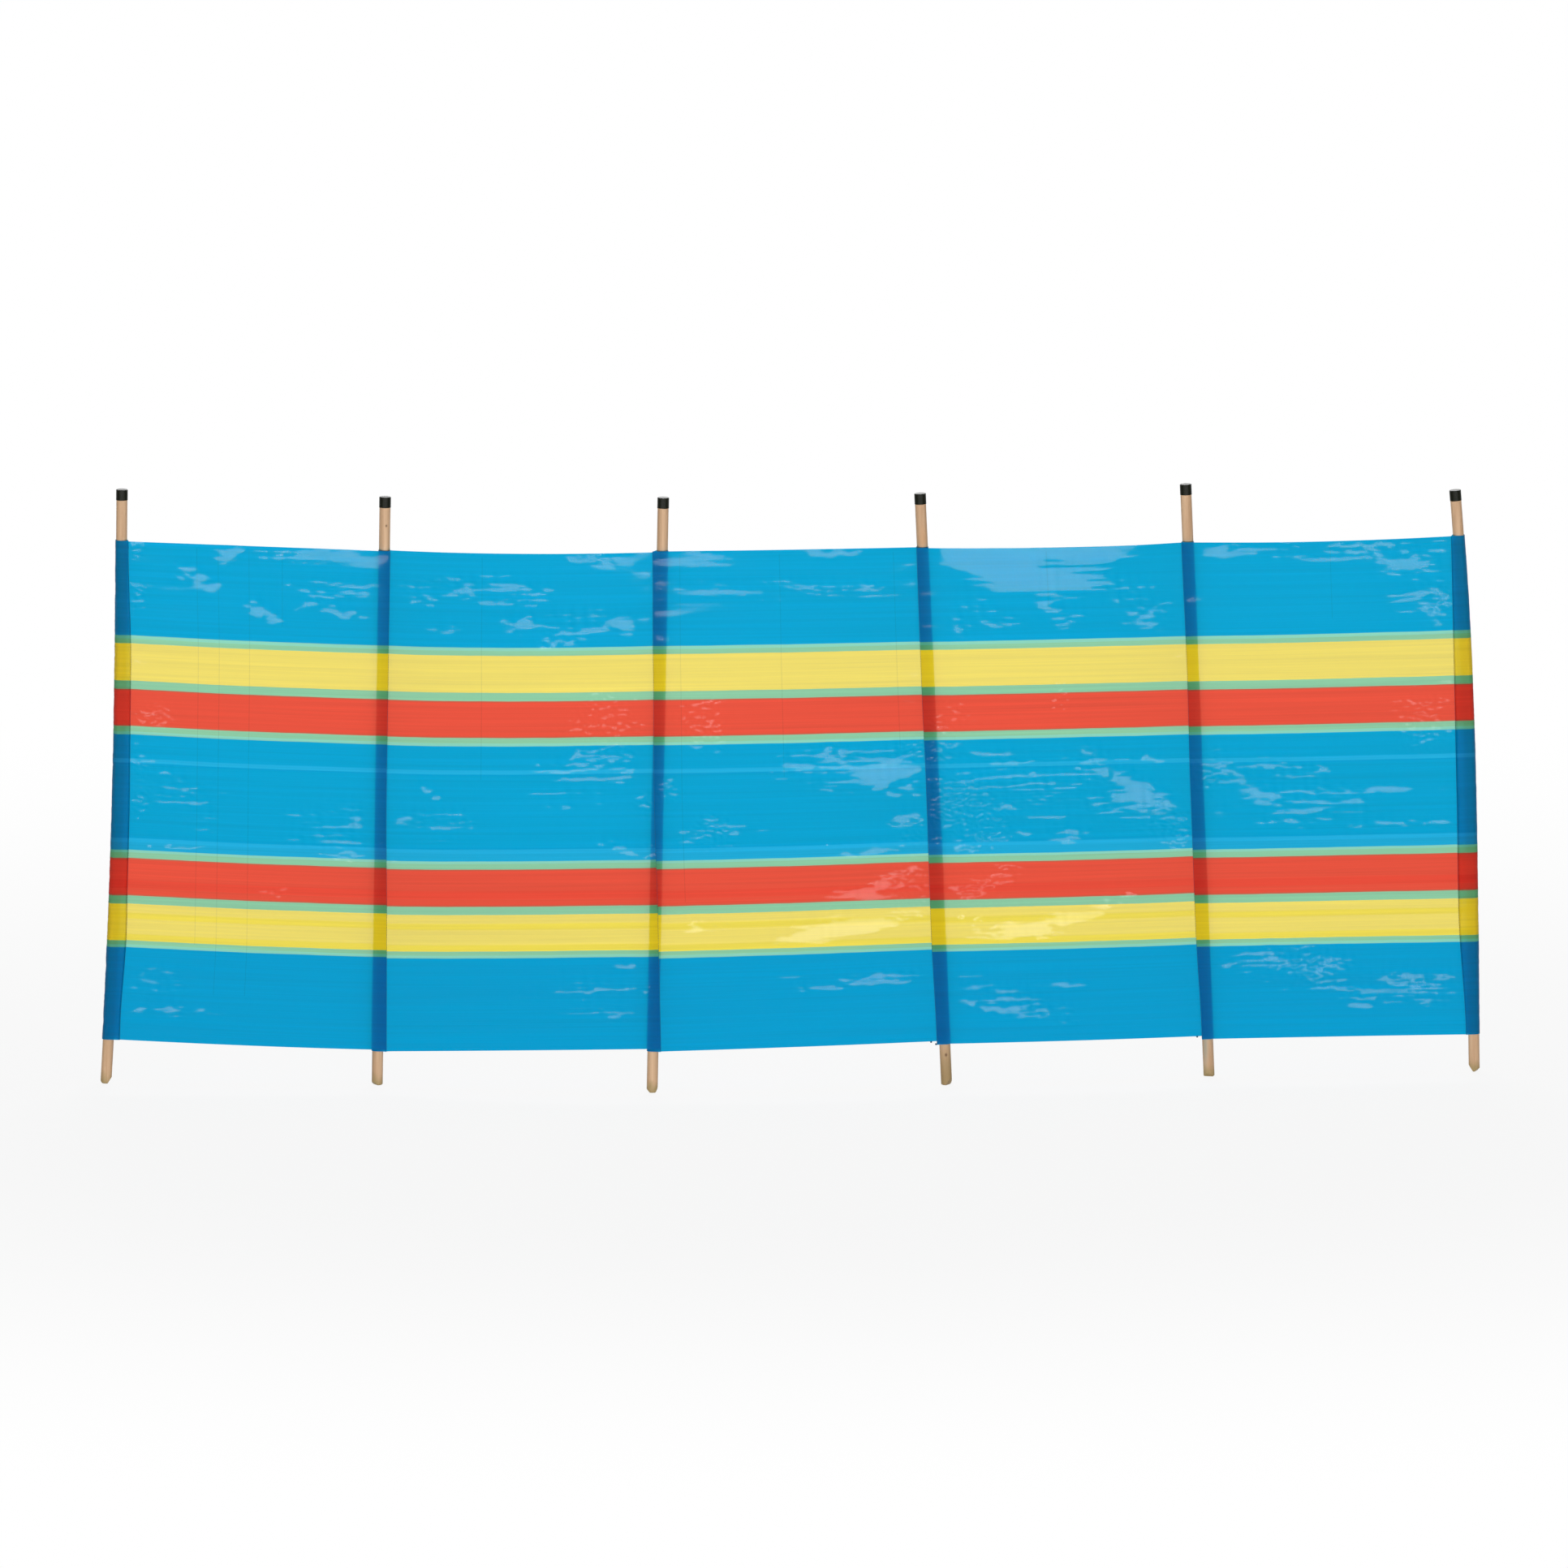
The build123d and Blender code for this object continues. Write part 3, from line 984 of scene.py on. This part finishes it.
def film_finish():
    """Glossy, translucent polythene with printed stripes along its length."""
    film = Finish(bpy.data.materials.new("striped_film"))
    parts = film.node("ShaderNodeSeparateXYZ", {"Vector": film.source("UV")})
    along, height = parts.outputs["X"], parts.outputs["Y"]
    waver = film.spread(film.pattern("UV", *PRINT_WAVER), -WAVER_REACH, WAVER_REACH)
    steps = stripe_edges(film, film.maths("ADD", height, waver))

    streaks = film.pattern("UV", *PRINT_STREAKS)
    threads = film.pattern("UV", *PRINT_THREADS)
    bands = film.pattern("UV", *PRINT_BANDS)
    hairlines = film.pattern("UV", *PRINT_HAIRLINES)
    # Painted shade: the ink is darkened along the storage folds, then thinned or deepened by
    # the print's streaks, threads and bands.
    depth = film.spread(fold_shading_mask(film, along, height), 1.0, PAINTED_FOLD_LIGHTNESS)
    for noise_value, ink in ((streaks, STREAK_INK), (threads, THREAD_INK), (bands, BAND_INK)):
        depth = film.maths("MULTIPLY", depth, film.spread(noise_value, *ink))
    pigment = film.scaled(by_stripe(film, steps, lambda ink: ink[0]), depth)

    pulled = film.maths("ADD", film.maths("MULTIPLY", streaks, STREAK_RELIEF), hairlines)
    surface = film.shader(
        "ShaderNodeBsdfPrincipled",
        Base_Color=pigment,
        IOR=1.5,
        Specular_IOR_Level=0.16,
        Roughness=0.05,
        Normal=film.bump(pulled, *FILM_RELIEF),
    )
    glow = film.shader("ShaderNodeBsdfTranslucent", Color=pigment)
    tint = by_stripe(film, steps, lambda ink: ink[1])
    clear = film.shader("ShaderNodeBsdfTransparent", Color=tint)
    turned_back = by_stripe(film, steps, lambda ink: (ink[2],) * 3)
    body = film.mixed_shaders(turned_back, glow, surface)
    return film.output(film.mixed_shaders(SEEN_THROUGH, body, clear))


def near_point(wood, point, reach):
    """1 at a point on a pole and fading to 0 at a reach from it."""
    away = wood.vector("SUBTRACT", wood.source("Object"), point)
    shaped = wood.vector("MULTIPLY", away, tuple(1 / size for size in reach))
    return wood.spread(wood.length(shaped), 1.0, 0.0, interpolation_type="SMOOTHSTEP")


def wood_finish():
    """Pale softwood dowel with long grain, knots, stains, and feet damp from the sand."""
    wood = Finish(bpy.data.materials.new("pole_wood"))
    grain = wood.pattern("Object", *WOOD_GRAIN)
    fibres = wood.pattern("Object", *WOOD_FIBRES)
    figure = wood.maths("ADD", grain, wood.maths("MULTIPLY", fibres, FIBRE_SHARE))
    tone = wood.mixed(wood.spread(figure, 0.0, 1.0, *GRAIN_RANGE), WOOD_LIGHT, WOOD_DARK)

    parts = wood.node("ShaderNodeSeparateXYZ", {"Vector": wood.source("Object")})
    ragged = wood.spread(wood.pattern("Object", *WOOD_RAGGED), -DAMP_RAGGED, DAMP_RAGGED)
    level = wood.maths("ADD", parts.outputs["Z"], ragged)
    reach = (0.0, DAMP_HEIGHT)
    damp = wood.spread(level, DAMP_SHARE, 0.0, *reach, interpolation_type="SMOOTHSTEP")
    tone = wood.mixed(damp, tone, WOOD_DAMP)
    for point, size, colour in STAINS:
        tone = wood.mixed(near_point(wood, point, size), tone, colour)

    surface = wood.shader(
        "ShaderNodeBsdfPrincipled",
        Base_Color=tone,
        Roughness=0.55,
        Specular_IOR_Level=0.3,
        Normal=wood.bump(fibres, *WOOD_RELIEF),
    )
    return wood.output(surface)


def cap_finish():
    """Black moulded plastic with a faint grain."""
    cap = Finish(bpy.data.materials.new("cap_plastic"))
    grain = cap.pattern("Object", *CAP_GRAIN)
    surface = cap.shader(
        "ShaderNodeBsdfPrincipled",
        Base_Color=cap.mixed(grain, CAP_BLACK, CAP_GREY),
        Roughness=0.30,
        Specular_IOR_Level=0.08,
        Normal=cap.bump(grain, *CAP_RELIEF),
    )
    return cap.output(surface)


def thread_finish():
    """Blue sewing thread, with the twist of its plies as fine bands."""
    thread = Finish(bpy.data.materials.new("thread"))
    twist = thread.pattern("Object", *THREAD_TWIST)
    tone = thread.mixed(twist, THREAD_BLUE, THREAD_SHADE)
    surface = thread.shader("ShaderNodeBsdfPrincipled", Base_Color=tone, Roughness=0.6)
    return thread.output(surface)


def seen_directly(nodes):
    """1 for what the camera sees, also in a gloss or through a clear piece, and else 0."""
    path = nodes.node("ShaderNodeLightPath").outputs
    seen = nodes.maths("MAXIMUM", path["Is Camera Ray"], path["Is Transmission Ray"])
    return nodes.maths("MAXIMUM", seen, path["Is Glossy Ray"])


def floor_finish():
    """Pale studio floor that reads as white and keeps a soft shadow near the object."""
    floor = Finish(bpy.data.materials.new("studio_floor"))
    away = floor.length(floor.vector("SUBTRACT", floor.source("Object"), (ROW_MIDDLE, 0, 0)))
    glow = floor.spread(away, NEAR_GLOW, 1.0, *GLOW_REACH, interpolation_type="SMOOTHSTEP")
    share = floor.maths("MULTIPLY", seen_directly(floor), glow)
    matt = floor.shader("ShaderNodeBsdfDiffuse", Color=(FLOOR_GREY,) * 3)
    white = floor.shader("ShaderNodeEmission", Strength=1.0)
    return floor.output(floor.mixed_shaders(share, matt, white))


# ---- studio ------------------------------------------------------------------------
def make_floor():
    """The pale floor under the row, level with its feet."""
    bm = bmesh.new()
    bmesh.ops.create_grid(bm, x_segments=1, y_segments=1, size=FLOOR_SIZE)
    floor = finished(bm, "floor")
    floor.data.materials.append(floor_finish())


def make_softbox(name, centre, target, size, power):
    """A rectangular lamp aimed at the row."""
    lamp = bpy.data.lights.new(name, "AREA")
    lamp.shape = "RECTANGLE"
    lamp.size, lamp.size_y = size
    lamp.energy = power
    box = bpy.data.objects.new(name, lamp)
    box.location = centre
    box.rotation_euler = (Vector(target) - Vector(centre)).to_track_quat("-Z", "Y").to_euler()
    box.visible_camera = False
    bpy.context.scene.collection.objects.link(box)


def make_world():
    """A white background that lights the row only faintly."""
    studio = Finish(bpy.data.worlds.new("studio"))
    strength = studio.spread(seen_directly(studio), WORLD_LIGHT, 1.0)
    light = studio.shader("ShaderNodeBackground", Strength=strength)
    bpy.context.scene.world = studio.output(light, "ShaderNodeOutputWorld")


def make_camera():
    """A far camera, a little above the row and square to it."""
    lens = bpy.data.cameras.new("camera")
    lens.sensor_width = SENSOR
    lens.lens = SENSOR * CAMERA_DISTANCE / VIEW_WIDTH
    lens.clip_end = 4 * CAMERA_DISTANCE
    camera = bpy.data.objects.new("camera", lens)
    sight = Vector((0, -cos(CAMERA_RISE), sin(CAMERA_RISE)))
    camera.location = VIEW_CENTRE + sight * CAMERA_DISTANCE
    camera.rotation_euler = (-sight).to_track_quat("-Z", "Y").to_euler()
    bpy.context.scene.collection.objects.link(camera)
    bpy.context.scene.camera = camera


# ---- the windbreak -----------------------------------------------------------------
make_camera()
FILM = film_finish()
WOOD = wood_finish()
CAP = cap_finish()
THREAD = thread_finish()
for number in POLE_NUMBERS:
    for node, finish in ((f"pole_{number}", WOOD), (f"cap_{number}", CAP)):
        materials = frame["nodes"][node].data.materials
        materials.clear()
        materials.append(finish)
    pocket = make_loop(number)
    pocket.data.materials.append(FILM)
    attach(pocket, "root")
    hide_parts(f"pocket_{number}")
    stitches = make_stitches(number)
    stitches.data.materials.append(THREAD)
    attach(stitches, "root")
for number in BAY_NUMBERS:
    bay = make_bay(number)
    bay.data.materials.append(FILM)
    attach(bay, "root")
    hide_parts(f"bay_{number}")

make_floor()
make_world()
for lamp in LAMPS:
    make_softbox(*lamp)
bpy.context.scene.view_settings.view_transform = "Standard"
